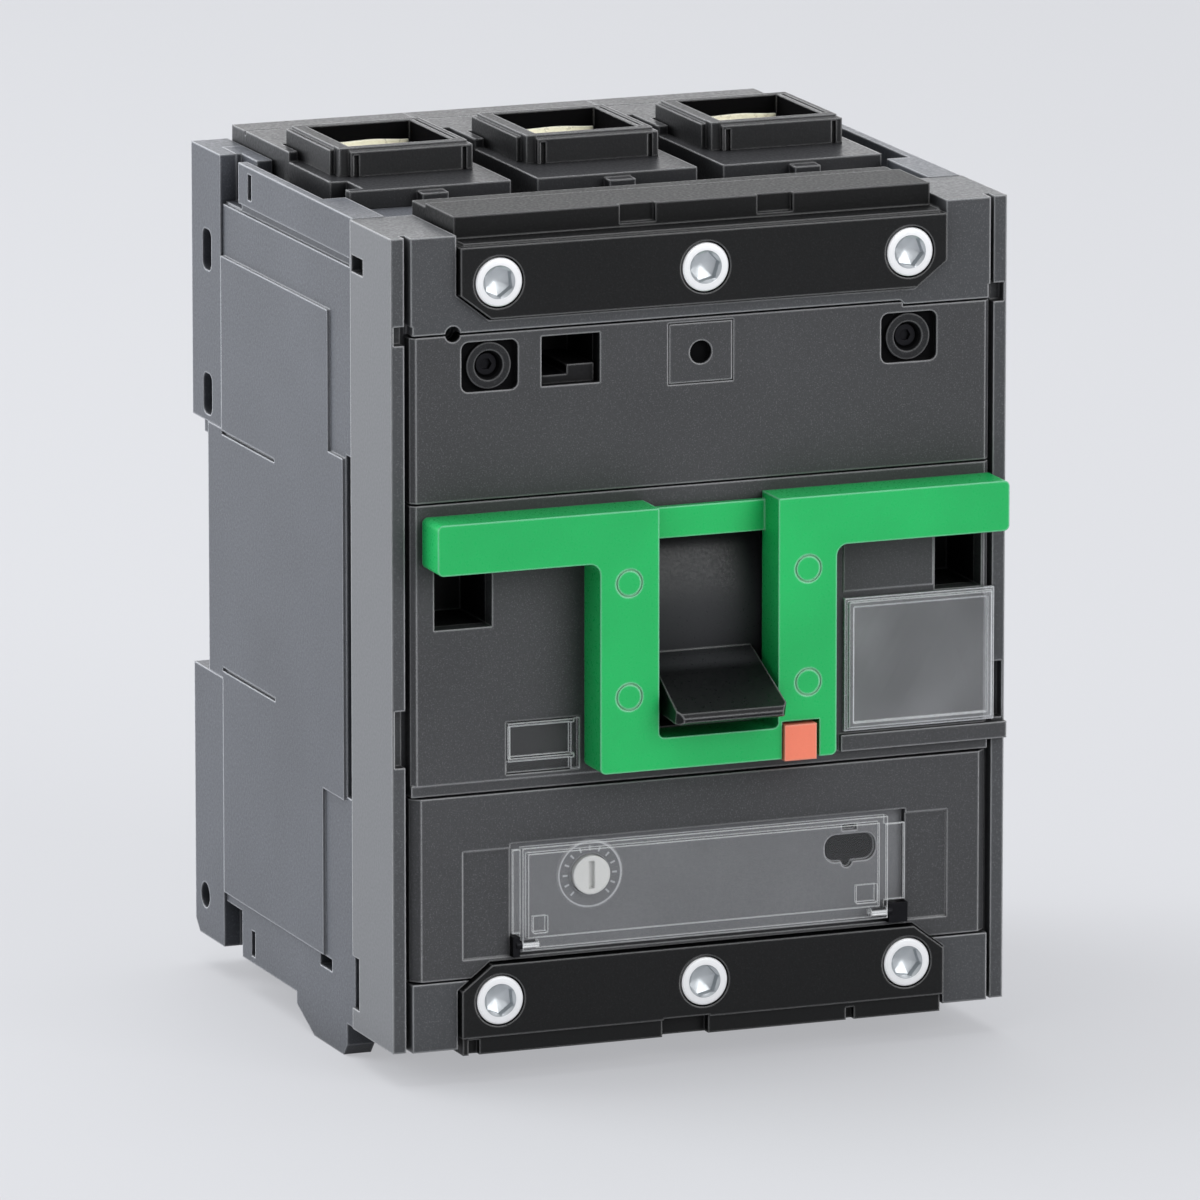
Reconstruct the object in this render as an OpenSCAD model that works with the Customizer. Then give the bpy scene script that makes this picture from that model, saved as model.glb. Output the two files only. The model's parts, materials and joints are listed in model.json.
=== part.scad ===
// Three pole molded case circuit breaker with box lug terminals, rail and panel mounting.
// X is right, the front faces -Y, Z is up. The origin lies on the rear face, at mid height.

/* [Case] */
// Width of the case
case_w = 90; // [86:1:96]
// Height of the case without the cable entries
case_h = 113; // [111:1:118]
// Depth from the rear face to the front of the corner posts
case_d = 79; // [77:1:86]
// Depth of the front half of the case
front_half_d = 15.7; // [14:0.1:17]
// Thickness of the rear wall behind the pole chambers
rear_wall = 3.3; // [2.5:0.1:4]
// Thickness of the walls of the front half
front_wall = 2.5; // [2:0.1:3]
// Thickness of the side walls of the front half
side_wall = 2.8; // [2:0.1:4]
// Width of a corner post
post_w = 1.9; // [1.6:0.1:2.4]

/* [Poles] */
// Distance between the pole chambers
pole_pitch = 27.5; // [27:0.1:29]
// Width of a pole chamber
chamber_w = 22.4; // [22:0.1:23]
// Height of the pole chambers
chamber_h = 79; // [78:0.5:80]
// Distance between the terminal screws
screw_pitch = 30; // [28:0.1:31]
// Height of the terminal screws above and below the middle
screw_z = 49.8; // [49:0.1:51]
// Width of a barrier slot between two deck blocks
barrier_slot_w = 3.9; // [3:0.1:4.4]

/* [Cable entries] */
// Width of a cable entry frame
entry_w = 20; // [19:0.1:21]
// Depth of a cable entry frame
entry_d = 20; // [19.5:0.1:21]
// Width of the cable opening
cable_w = 15.2; // [14.8:0.1:16]
// Depth of the cable opening
cable_d = 16.4; // [16:0.1:17.5]
// Height of a deck block above the case
deck_rise = 0.7; // [0.5:0.1:2]
// Height of a cable entry frame above its deck
entry_rise = 4; // [3:0.1:6]
// Height of the raised rear part of a deck block
platform_rise = 1.4; // [0.8:0.1:2]

/* [Covers] */
// Thickness of the cover plates
cover_t = 2.6; // [2:0.1:3]
// How far the cover plates stand before the corner posts
cover_proud = 0.6; // [0.3:0.1:1]
// Gap between neighbouring cover plates
cover_gap = 0.3; // [0.2:0.05:0.4]
// How far the terminal covers stand before the corner posts
bar_proud = 1.6; // [1.2:0.1:2.2]
// Length of a terminal cover beyond the outer screws
bar_end = 5.5; // [4.5:0.1:6]
// Height of the band of a terminal cover that holds the screws
bar_h = 10; // [9.5:0.1:11]
// Radius of a terminal screw head
screw_head_r = 3.4; // [3:0.1:3.6]

/* [Handle frame] */
// How far the handle frame stands before the corner posts
frame_proud = 6.7; // [6:0.1:8]
// Height of the arms of the handle frame
arm_h = 7; // [6:0.1:8]
// Distance from the left side of the case to the left arm
arm_in_left = 4.2; // [3:0.1:8]
// Distance from the right side of the case to the right arm
arm_in_right = 2.2; // [2:0.1:6]
// Top of the handle frame
arm_top = 18; // [17:0.1:19]
// Bottom of the handle frame
leg_bottom = -18.3; // [-19:0.1:-18]
// Outer width over the two legs
legs_w = 34.6; // [33:0.1:35.4]
// Width of the opening between the legs
opening_w = 17.5; // [17:0.1:18]
// Bottom of the opening between the legs
opening_bottom = -13.9; // [-14.5:0.1:-13.5]

/* [Toggle] */
// Depth of the toggle's pivot behind the corner posts
pivot_depth = 28.5; // [28:0.1:29]
// Radius of the shutter about the pivot
shutter_r = 28; // [27:0.1:28.3]
// Radius of the toggle's tip about the pivot
tip_r = 42; // [40:0.1:44]
// Swing of the toggle from off to on, in degrees
toggle_swing = 29; // [26:0.5:29]
// Width of the toggle's blade at its tip
tip_w = 16.1; // [15:0.1:16.4]

/* [Contacts] */
// Depth of the contact shaft's axis before the rear face
shaft_y = 31; // [30.5:0.1:32]
// Height of the contact shaft's axis
shaft_z = -6; // [-7:0.1:-5]
// Radius of the contact shaft
shaft_r = 6; // [5:0.1:6.5]
// Length of a contact arm above the shaft's axis
arm_l = 29; // [28:0.1:30]
// Swing of the contact shaft from open to closed, in degrees
contact_swing = 24; // [20:0.5:26]
// Depth of the face on which the conductors lie, before the rear face
bar_seat_y = 22.1; // [21.9:0.1:22.4]
// Thickness of the conductors
bar_t = 2.5; // [2:0.1:3]
// Width of the conductors
conductor_w = 9; // [8:0.1:10]

/* [Rail] */
// Height of the rail channel in the rear face
rail_h = 35.6; // [35.3:0.1:36]
// Height of the lips that hook behind the rail
lip_h = 2; // [1.5:0.1:2.5]
// Depth of the rail channel
rail_depth = 6.2; // [6:0.1:7]

/* [Hidden] */
$fn = 48;

// Planes and half sizes that several pieces share
half_w = case_w / 2;
half_h = case_h / 2;
front = -case_d;
joint_y = front + front_half_d;
cover_front = front - cover_proud;
seat = cover_front + cover_t;
post_in = half_w - post_w;
wall_in = half_w - side_wall;
cover_half = post_in - 0.75;
deck_top = half_h + deck_rise;
deck_half = 1.5 * pole_pitch - barrier_slot_w / 2;
arm_left = -half_w + arm_in_left;
arm_right = half_w - arm_in_right;
entry_top = deck_top + entry_rise;
cut = 1;

// Outer skin of the rear half
side_step = 0.4;
skin_half = half_w - side_step;
flange_y = -11.7;
flange_low = rail_h / 2;
cheek_t = 2.4;
cheek_in = half_w - cheek_t;
notch_w = 6.4;
notch_h = 6.6;
notch_depth = 3.2;
panel_top = 42.3;
panel_mid = 22.7;
panel_low = -25;
panel_bottom = -48.6;
panel_front = joint_y + 9;
groove_w = 3.2;

// Terminals: one box lug under each entry
entry_front = -38;
cable_front = entry_front + (entry_d - cable_d) / 2;
cable_rear = cable_front + cable_d;
fit_gap = 0.3;
lug_w = cable_w - 2 * fit_gap;
lug_front = cable_front + fit_gap;
lug_rear = cable_rear - fit_gap;
lug_wall = 2;
insert_low = chamber_h / 2 + 1.5;
lug_floor = insert_low + 1;
lug_low = lug_floor + 1.5;
lug_high = entry_top - 3.1;
screw_r = 2.5;
screw_play = 0.1;
channel_r = screw_head_r + 0.2;
deck_front = -48;
deck_rear = -rail_depth - 1.2;
lip_rear = -1;
lip_low = half_h - 5;
mount_r = 2.25;
mount_head_r = 3.8;
mount_z = 48;
mount_seat = -12;

// Covers
upper_low = 19.9;
upper_high = 43;
centre_low = -20.8;
centre_high = upper_low - cover_gap;
lower_high = centre_low - cover_gap;
lower_low = -46.6;
bar_mid = 49.8;
bar_low = bar_mid - bar_h / 2;
bar_high = bar_mid + bar_h / 2;
bar_chamfer = 3.4;
bar_w = 2 * (screw_pitch + bar_end);
block_w = bar_w - 1.4;
block_front = front + 3;
block_rear = front + 18.8;
block_top = half_h + 1.8;
trough_z = bar_high - 0.2;
corner_x = bar_w / 2 + 0.3;
left_window = [-half_w + 5.9, 2.2, -half_w + 14.3, 10.8];
right_window = [half_w - 10.7, 2.2, half_w - 3.8, 10.8];
upper_window = [-23.5, 34.8, -15, 41.7];
windows = [left_window, right_window, upper_window];
socket_wall = 1.2;
socket_rear = seat + front_wall + 8.2;
upper_corner_z = 45.4;

// Toggle
pivot_y = front + pivot_depth;
rest_tilt = toggle_swing / 2;
shutter_t = 1.5;
shutter_w = 19.8;
shutter_half_angle = 45;
pivot_pin_r = 2;
run_gap = 0.05;
spring_turns = 14;
spring_wire_r = 0.55;
spring_step = 1.05;
spring_rear = -pivot_pin_r - 0.35 - spring_wire_r;
spring_pin_r = 1;
spring_pin_y = spring_rear - (spring_turns - 1) * spring_step - spring_wire_r - 0.3 - spring_pin_r;
cover_open_w = shutter_w + 0.8;
cover_open_h = 27.4;
wall_open_w = cover_open_w + 1.4;
wall_open_h = cover_open_h + 4;

// Trip button and trip bar
button_x = 11.8;
button_z = -16;
button_w = 4.7;
button_h = 5;
button_front = front - 7.3;
stem_rear = -58.5;
trip_y = -57;
trip_z = -29;
trip_r = 2.2;
trip_half = 40.2;
paddle_gap = 0.3;

// Settings
dial_x = -16;
dial_z = -33.8;
dial_shaft_r = 1.5;
panel_x0 = -28.1;
panel_x1 = 30.1;
panel_z0 = -44;
panel_z1 = -28.3;
panel_t = 1.2;
flap_x0 = -26.8;
flap_x1 = 27;
flap_z0 = -43.2;
flap_z1 = -28.8;
flap_front = front - 1.9;
flap_t = 1.4;
flap_axis_y = flap_front + flap_t / 2;
flap_axis_z = flap_z0 + 0.8;
flap_gap = 0.3;
flap_pin_r = 0.6;
label_x0 = half_w - 24.3;
label_z0 = -16.5;
label_z1 = 2.1;
ledge_top = label_z0 - 0.5;

// A box between two opposite corners
module box(a, b) {
    translate(a) cube(b - a);
}

// A plate that lies in the XZ plane, from its rear face forward
module plate_xz(rear, ahead) {
    translate([0, rear, 0]) rotate([90, 0, 0]) linear_extrude(rear - ahead) children();
}

// A plate that lies in the YZ plane
module plate_yz(x0, x1) {
    translate([x0, 0, 0]) rotate([90, 0, 90]) linear_extrude(x1 - x0) children();
}

// A rectangle between two corners with round corners
module round_rect(a, b, r) {
    translate([a[0] + r, a[1]]) square([b[0] - a[0] - 2 * r, b[1] - a[1]]);
    translate([a[0], a[1] + r]) square([b[0] - a[0], b[1] - a[1] - 2 * r]);
    for (x = [a[0] + r, b[0] - r], y = [a[1] + r, b[1] - r]) translate([x, y]) circle(r);
}

// A cylinder along Y from its rear end forward
module rod_y(x, z, r, rear, ahead) {
    translate([x, rear, z]) rotate([90, 0, 0]) cylinder(r = r, h = rear - ahead);
}

// A cylinder along X
module rod_x(y, z, r, x0, x1) {
    translate([x0, y, z]) rotate([0, 90, 0]) cylinder(r = r, h = x1 - x0);
}

module both_sides() {
    children();
    mirror([1, 0, 0]) children();
}

module both_ends() {
    children();
    mirror([0, 0, 1]) children();
}

module each_pole() {
    for (k = [-1:1]) translate([k * pole_pitch, 0, 0]) children();
}

module each_screw() {
    for (k = [-1:1]) translate([k * screw_pitch, 0, 0]) children();
}

// Rear half of the case

module side_panel() {
    plate_yz(skin_half - cut, half_w) polygon([
        [-rail_depth, panel_bottom], [-rail_depth, panel_top], [panel_front, panel_top],
        [panel_front, panel_mid], [joint_y + groove_w, panel_mid], [joint_y + groove_w, panel_low],
        [panel_front + 2.5, panel_low], [panel_front + 2.5, panel_bottom]
    ]);
}

module side_foot() {
    top = -half_h + cut;
    plate_yz(half_w - 4.4, skin_half) polygon([
        [-60, top], [-60, -entry_top + 1.6], [-58.6, -entry_top], [-47, -entry_top],
        [-40, -entry_top + 3], [-40, top]
    ]);
}

module rail_tabs() {
    plate_yz(skin_half - cut, half_w) {
        round_rect([-9, flange_low - 2.6], [-rail_depth, flange_low + 1], 1.2);
        round_rect([-9.6, -flange_low - 1], [-rail_depth, -flange_low + 3], 1.2);
    }
}

module pole_chamber() {
    box([-chamber_w / 2, joint_y - cut, -chamber_h / 2],
        [chamber_w / 2, -rail_depth - rear_wall, chamber_h / 2]);
}

module deck_pocket() {
    x = deck_half + fit_gap;
    box([-x, deck_front - fit_gap, insert_low - fit_gap], [x, deck_rear, half_h + cut]);
    box([-x - 3.7, deck_front - fit_gap, half_h - 3.2], [x + 3.7, flange_y - notch_w, half_h + cut]);
    box([-x, deck_rear - cut, lip_low - fit_gap], [x, cut, half_h + cut]);
}

module lug_pocket() {
    box([-cable_w / 2, cable_front, lug_floor], [cable_w / 2, cable_rear, entry_top + cut]);
}

module conductor_slot() {
    box([-conductor_w / 2 - fit_gap, -bar_seat_y - bar_t - fit_gap, chamber_h / 2 - cut],
        [conductor_w / 2 + fit_gap, -bar_seat_y, lug_floor + cut]);
}

module conductor_pedestal(low) {
    box([-6, -bar_seat_y, low], [6, -rail_depth - cut, chamber_h / 2 + cut]);
}

module shaft_slots() {
    wide = shaft_r + 0.15;
    journal = shaft_r - 2 + run_gap;
    reach = chamber_w / 2 + pole_pitch + 0.1;
    rod_x(-shaft_y, shaft_z, wide, -reach, reach);
    box([-reach, joint_y - cut, shaft_z - wide], [reach, -shaft_y, shaft_z + wide]);
    rod_x(-shaft_y, shaft_z, journal, -reach - 3.2, reach + 3.2);
    box([-reach - 3.2, joint_y - cut, shaft_z - journal],
        [reach + 3.2, -shaft_y, shaft_z + journal]);
}

module trip_bar_slot() {
    r = trip_r + run_gap;
    sweep = 3.6;
    inner = pole_pitch + chamber_w / 2;
    rod_x(trip_y, trip_z, r, -trip_half - 0.3, trip_half + 0.3);
    box([-trip_half - 0.3, joint_y - cut, trip_z - r], [trip_half + 0.3, trip_y, trip_z + r]);
    box([-inner, joint_y - cut, trip_z - sweep], [inner, trip_y + sweep, trip_z + 14]);
}

module screw_channels() {
    both_ends() each_screw() rod_y(0, screw_z, channel_r, cable_front + cut, joint_y - cut);
}

module mounting_bores() {
    both_sides() both_ends() {
        rod_y(pole_pitch / 2, mount_z, mount_r, cut, joint_y - cut);
        rod_y(pole_pitch / 2, mount_z, mount_head_r, mount_seat, joint_y - cut);
    }
}

module side_cuts() {
    both_ends() {
        box([half_w - notch_depth, flange_y - notch_w, half_h - notch_h],
            [half_w + cut, flange_y, half_h + cut]);
        box([half_w - 1.2, flange_y - 11.6, half_h - 4.6],
            [half_w + cut, flange_y - 10.1, half_h - 1]);
        box([cheek_in, flange_y, flange_low], [half_w + cut, cut, half_h + cut]);
    }
    box([skin_half - 0.5, joint_y + 1.2, half_h - 6.9], [half_w + cut, flange_y, half_h - 5.7]);
    for (z = [flange_low - 0.8, -flange_low + 1])
        box([half_w - 0.5, -33, z], [half_w + cut, flange_y, z + 0.5]);
    box([half_w - 2.4, -54.2, -50.5], [half_w + cut, -49.5, -48.8]);
    box([half_w - 2.4, joint_y - cut, panel_low + 0.5],
        [half_w + cut, joint_y + groove_w - 0.4, panel_mid + 0.6]);
}

module rear_case() {
    trough_x = deck_half + 0.7;
    color([0.27, 0.28, 0.3]) difference() {
        union() {
            difference() {
                union() {
                    box([-skin_half, joint_y, -half_h], [skin_half, -rail_depth, half_h]);
                    both_sides() side_panel();
                    both_sides() side_foot();
                    both_sides() rail_tabs();
                }
                each_pole() pole_chamber();
                both_ends() deck_pocket();
                both_ends() box([-trough_x, joint_y - cut, trough_z],
                                [trough_x, deck_front, half_h + cut]);
            }
            each_pole() conductor_pedestal(16);
            mirror([0, 0, 1]) each_pole() conductor_pedestal(18);
        }
        both_ends() each_pole() conductor_slot();
        screw_channels();
        shaft_slots();
        trip_bar_slot();
        both_sides() side_cuts();
        mounting_bores();
    }
}

// Rail plates: screwed to the back, they leave the rail channel between them

module flange_slot(z) {
    plate_yz(half_w - 4, half_w + cut) round_rect([-8, z - 2.9], [-4.4, z + 2.9], 1.2);
}

module rail_plate() {
    difference() {
        union() {
            box([-half_w, -rail_depth, flange_low], [half_w, 0, half_h]);
            both_sides() box([cheek_in, flange_y, flange_low], [half_w, 0, half_h]);
        }
        box([-deck_half - fit_gap, -rail_depth - cut, lip_low - fit_gap],
            [deck_half + fit_gap, cut, half_h + cut]);
        mounting_bores();
    }
}

module upper_rail_plate() {
    color([0.27, 0.28, 0.3]) union() {
        difference() {
            rail_plate();
            both_sides() {
                flange_slot(42.2);
                flange_slot(21.7);
            }
        }
        both_sides() box([20, -rail_depth + 1.3, flange_low - lip_h],
                         [half_w - 0.6, -rail_depth + 3, flange_low + cut]);
    }
}

module latch_recess() {
    top = -flange_low + cut;
    box([-10.15, -3.1, -41], [10.15, -1.6, top]);
    box([-8.15, -1.7, -41], [8.15, cut, top]);
    box([-8.15, -rail_depth + 1.3, -flange_low - 2.8], [8.15, -1.6, top]);
}

module lower_rail_plate() {
    color([0.27, 0.28, 0.3]) difference() {
        mirror([0, 0, 1]) rail_plate();
        latch_recess();
        both_sides() {
            rod_x(-4, -50.7, 1.8, half_w - 4, half_w + cut);
            translate([half_w - 4, 0, -half_h]) rotate([45, 0, 0]) cube([8, 2.4, 2.4], center = true);
        }
    }
}

// Decks: one terminal block for each pole, set into the top and bottom of the rear half

module deck_insert() {
    slot_low = half_h - 3.6;
    block_seam = 0.1;
    difference() {
        union() {
            box([-deck_half, deck_front, insert_low], [deck_half, deck_rear, deck_top]);
            box([-deck_half, deck_rear - cut, lip_low], [deck_half, lip_rear, deck_top + platform_rise]);
            box([-deck_half, entry_front + entry_d - 6, deck_top - cut],
                [deck_half, deck_rear, deck_top + platform_rise]);
            each_pole() box([-1.9, deck_front - 2, deck_top - 2.6], [1.9, deck_front + cut, deck_top - 0.6]);
        }
        each_pole() {
            lug_pocket();
            conductor_slot();
            box([-entry_w / 2 - 0.5, entry_front - cut, deck_top],
                [entry_w / 2 + 0.5, entry_front + entry_d + fit_gap, entry_top]);
        }
        for (x = [-0.5, 0.5]) {
            box([x * pole_pitch - barrier_slot_w / 2, deck_front - 3, slot_low],
                [x * pole_pitch + barrier_slot_w / 2, -14, entry_top]);
            box([x * pole_pitch - block_seam / 2, deck_front - 3, insert_low - cut],
                [x * pole_pitch + block_seam / 2, cut, entry_top]);
        }
        box([-deck_half - cut, deck_front + 1.6, slot_low], [-deck_half + 2.4, deck_front + 7.6, entry_top]);
        box([-deck_half - cut, -6.6, deck_top + 0.8], [deck_half + cut, -6.2, entry_top]);
        screw_channels();
        mounting_bores();
    }
}

module line_deck() {
    color([0.25, 0.26, 0.28]) deck_insert();
}

module load_deck() {
    color([0.25, 0.26, 0.28]) mirror([0, 0, 1]) deck_insert();
}

// Front half of the case

// The outside of the socket behind a window, from one depth to another
module socket_block(w, play, y0, y1) {
    side = socket_wall + play;
    box([w[0] - side, y0, w[1] - side], [min(w[2] + side, wall_in), y1, w[3] + side]);
}

module accessory_sockets() {
    color([0.14, 0.14, 0.15]) for (w = windows) difference() {
        socket_block(w, 0, seat, socket_rear);
        box([w[0], seat - cut, w[1]], [w[2], socket_rear - socket_wall, w[3]]);
    }
}

// A plate of the front half round the band of a terminal cover, which sits in its cut-out
module end_plate(low, step) {
    top = half_h - 0.1;
    difference() {
        plate_xz(seat + cut, cover_front) difference() {
            polygon([
                [-cover_half, low], [29, low], [29 + step, low - step], [cover_half, low - step],
                [cover_half, top], [-cover_half, top]
            ]);
            cover_outline(cover_gap);
        }
        box([-corner_x, front - 2 * cut, bar_high - cut], [corner_x, seat + 2 * cut, half_h + cut]);
    }
}

module front_case() {
    inner_z = half_h - 3;
    color([0.33, 0.34, 0.36]) difference() {
        union() {
            difference() {
                box([-half_w, front, -half_h + 0.1], [half_w, joint_y, half_h - 0.1]);
                box([-post_in, front - cut, -half_h - cut], [post_in, seat, half_h + cut]);
                box([-wall_in, seat + front_wall, -inner_z], [wall_in, joint_y + cut, inner_z]);
                both_ends() box([-corner_x, front - cut, bar_high],
                                [corner_x, joint_y + cut, half_h + cut]);
            }
            end_plate(upper_high, 0.6);
            mirror([0, 0, 1]) end_plate(-lower_low + cover_gap, 0);
        }
        for (w = windows) socket_block(w, 0.1, seat - 0.1, seat + front_wall + cut);
        box([-wall_open_w / 2, seat - cut, -wall_open_h / 2],
            [wall_open_w / 2, seat + front_wall + cut, wall_open_h / 2]);
        box([button_x - 2.8, seat - cut, button_z - 3],
            [button_x + 2.8, seat + front_wall + cut, button_z + 3]);
        box([panel_x0 + 2, seat - cut, panel_z0 + 1.2],
            [panel_x1 - 2, seat + front_wall + cut, panel_z1 - 1.2]);
        both_ends() each_screw() rod_y(0, screw_z, channel_r, seat + front_wall + cut, front - cut);
        both_ends() both_sides()
            rod_y(pole_pitch / 2, mount_z, mount_head_r, seat + front_wall + cut, seat);
        for (p = cover_screw_places) rod_y(p[0], p[1], 1.1, seat + front_wall + cut, seat - cut);
        both_sides() post_notches();
        rod_y(-36.3, 42.9, 1.1, seat + cut, cover_front - cut);
    }
}

module post_notches() {
    box([post_in - cut, front - cut, 41.7], [half_w - 0.4, front + 1.6, 44.3]);
    box([post_in - cut, front - cut, -16.6], [half_w - 0.4, front + 1.6, -8.7]);
    box([half_w - 1.6, joint_y - 5, 49.4], [half_w + cut, joint_y - 0.6, 51.7]);
    box([half_w - 1.6, joint_y - 2.6, -53.4], [half_w + cut, joint_y + cut, -46.1]);
}

// Cover plates

cover_screw_places = [[-31, 38.2], [30.3, 37.8]];
recess_half = [4.1, 3.45];

module screw_recess(p) {
    plate_xz(cover_front + 1.2, cover_front - cut)
        round_rect([p[0] - recess_half[0], p[1] - recess_half[1]],
                   [p[0] + recess_half[0], p[1] + recess_half[1]], 1.1);
}

module screw_seat(p) {
    difference() {
        rod_y(p[0], p[1], 3.2, cover_front + 1.3, cover_front + 0.4);
        screw_cone(p);
    }
}

module screw_cone(p) {
    translate([p[0], cover_front + 1.9, p[1]]) rotate([90, 0, 0]) cylinder(r1 = 1.6, r2 = 2.1, h = 1.55);
    rod_y(p[0], p[1], 1.6, seat + cut, cover_front + 1.8);
}

// A cover plate with bevelled side edges
module cover_blank(z0, z1, bevel) {
    translate([0, 0, z0]) linear_extrude(z1 - z0) polygon([
        [-cover_half, seat], [-cover_half, cover_front + bevel], [-cover_half + bevel, cover_front],
        [cover_half - bevel, cover_front], [cover_half, cover_front + bevel], [cover_half, seat]
    ]);
}

module upper_cover() {
    color([0.27, 0.28, 0.3]) {
        difference() {
            cover_blank(upper_low, upper_high - cover_gap, 0.7);
            box([29.4, cover_front - cut, upper_high - cover_gap - 0.6],
                [cover_half + cut, seat + cut, upper_high]);
            for (p = cover_screw_places) {
                screw_recess(p);
                rod_y(p[0], p[1], 1.6, seat + cut, cover_front - cut);
                screw_cone(p);
            }
            box([upper_window[0], cover_front - cut, upper_window[1]],
                [upper_window[2], seat + cut, upper_window[3]]);
            box([-cap_half[0] + cap_mid[0] - 0.15, cover_front - cut, cap_mid[1] - cap_half[1] - 0.15],
                [cap_half[0] + cap_mid[0] + 0.15, cover_front + 1.6, cap_mid[1] + cap_half[1] + 0.15]);
            rod_y(-36.3, 42.9, 1.1, seat + cut, cover_front - cut);
        }
        for (p = cover_screw_places) screw_seat(p);
    }
}

cap_mid = [-0.3, 37.9];
cap_half = [4.6, 4.1];

module test_cap() {
    color([0.26, 0.27, 0.29]) difference() {
        box([cap_mid[0] - cap_half[0], cover_front, cap_mid[1] - cap_half[1]],
            [cap_mid[0] + cap_half[0], cover_front + 1.6, cap_mid[1] + cap_half[1]]);
        rod_y(cap_mid[0], cap_mid[1], 1.6, cover_front + 1.2, cover_front - cut);
    }
}

module window_block() {
    w = upper_window;
    y_rear = socket_rear - socket_wall;
    color([0.2, 0.2, 0.22]) union() {
        box([w[0], cover_front + 1.4, w[1]], [w[2] - 3, y_rear, w[1] + 1.2]);
        box([w[0] + 4.2, cover_front + 1.4, w[1]], [w[2] - 0.4, y_rear, w[1] + 2.5]);
    }
}

module window_cut(w) {
    box([w[0], cover_front - cut, w[1]], [w[2], seat + cut, w[3]]);
}

module centre_cover() {
    color([0.27, 0.28, 0.3]) difference() {
        union() {
            cover_blank(-19.3, centre_high, 0.7);
            box([-cover_half, cover_front + 0.3, centre_low], [cover_half, seat, -19.2]);
            box([label_x0 - 0.5, front - 1.4, -19.3], [half_w - 0.2, front, ledge_top]);
            box([label_x0 - 0.5, front - 1.4, -19.3], [cover_half, seat, ledge_top]);
            box([label_x0, cover_front - 0.25, label_z1 + 0.9],
                [right_window[0] - 0.3, seat, arm_top - arm_h - 0.1]);
        }
        window_cut(left_window);
        window_cut(right_window);
        box([-cover_open_w / 2, cover_front - cut, -cover_open_h / 2],
            [cover_open_w / 2, seat + cut, cover_open_h / 2]);
        box([button_x - button_w / 2 - 0.3, front - 2, button_z - button_h / 2 - 0.3],
            [button_x + button_w / 2 + 0.3, seat + cut, button_z + button_h / 2 + 0.3]);
        box([tag_x0, cover_front - cut, tag_z0], [tag_x1, cover_front + 0.8, tag_z1]);
    }
}

module lower_cover() {
    color([0.27, 0.28, 0.3]) difference() {
        cover_blank(lower_low, lower_high, 1.3);
        box([panel_x0, cover_front - cut, panel_z0], [panel_x1, seat + cut, panel_z1]);
        box([panel_x0 - 6.9, cover_front - cut, panel_z0],
            [panel_x1 + 6.2, cover_front + 0.25, panel_z1 - 0.6]);
        mirror([0, 0, 1]) plate_xz(seat + cut, cover_front - cut) cover_outline(cover_gap);
        mirror([0, 0, 1]) box([-corner_x, cover_front - cut, bar_low + bar_chamfer],
                              [corner_x, seat + cut, half_h]);
    }
}

// Terminal covers

module cover_outline(play) {
    edge = bar_w / 2;
    polygon([
        [-edge - play, bar_low + bar_chamfer], [-edge + bar_chamfer + 1, bar_low - play],
        [edge - bar_chamfer - 1, bar_low - play], [edge + play, bar_low + bar_chamfer],
        [edge + play, bar_high], [-edge - play, bar_high]
    ]);
}

module head_seats() {
    each_screw() {
        rod_y(0, screw_z, screw_head_r + 0.2, seat - 1, front - bar_proud - cut);
        rod_y(0, screw_z, screw_r + 0.3, seat + cut, front - bar_proud - cut);
    }
}

module upper_terminal_cover() {
    color([0.12, 0.12, 0.13]) difference() {
        union() {
            plate_xz(seat, front - bar_proud) cover_outline(0);
            box([-block_w / 2, block_front, bar_high], [block_w / 2, block_rear, block_top]);
            box([-block_w / 2, front - bar_proud + 0.8, bar_high - cut], [block_w / 2, seat, bar_high + 0.4]);
            box([-block_w / 2, seat - cut, bar_high], [block_w / 2, block_front + cut, bar_high + 0.4]);
        }
        head_seats();
        for (x = [-10.7, 9.4])
            box([x, block_front - cut, block_top - 2.6], [x + 5.2, block_front + 0.8, block_top + cut]);
        box([-block_w / 2 - cut, block_rear - 5, block_top - 0.5],
            [block_w / 2 + cut, block_rear + cut, block_top + cut]);
    }
}

module lower_terminal_cover() {
    step_w = 2 * corner_x - 1.2;
    color([0.12, 0.12, 0.13]) mirror([0, 0, 1]) difference() {
        union() {
            plate_xz(seat, front - bar_proud) cover_outline(0);
            box([-step_w / 2, front - 1, bar_high - cut], [step_w / 2, block_rear, half_h + 0.8]);
        }
        head_seats();
        box([-step_w / 2 - cut, seat, bar_high - 2 * cut], [step_w / 2 + cut, block_rear + cut, bar_high]);
        box([-34.4, front - 1 - cut, 55.2], [-32.8, front, 60]);
        box([-6, front - 1 - cut, 54.6], [0.8, front + 0.4, 60]);
        box([21.2, front - 1 - cut, 55.6], [22.4, front, 60]);
    }
}

module terminal_screw() {
    head_front = front - bar_proud - 0.1;
    difference() {
        union() {
            rod_y(0, screw_z, screw_head_r, seat - 1, head_front);
            rod_y(0, screw_z, screw_r, lug_front + lug_wall + 1.5, seat - 1 - cut);
        }
        translate([0, head_front + 2.4, screw_z]) rotate([90, 0, 0]) cylinder(r = 2.1, h = 3, $fn = 6);
    }
}

module upper_terminal_screws() {
    color([0.85, 0.86, 0.88]) each_screw() terminal_screw();
}

module lower_terminal_screws() {
    color([0.85, 0.86, 0.88]) mirror([0, 0, 1]) each_screw() terminal_screw();
}

module cover_screws() {
    color([0.3, 0.3, 0.32]) for (p = cover_screw_places) difference() {
        union() {
            rod_y(p[0], p[1], 1.5, seat, seat - 1.2);
            rod_y(p[0], p[1], 1, joint_y, seat - cut);
        }
        translate([p[0], seat - 0.6, p[1]]) rotate([90, 0, 0]) cylinder(r = 0.8, h = 2, $fn = 6);
    }
}

// Handle frame

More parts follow.
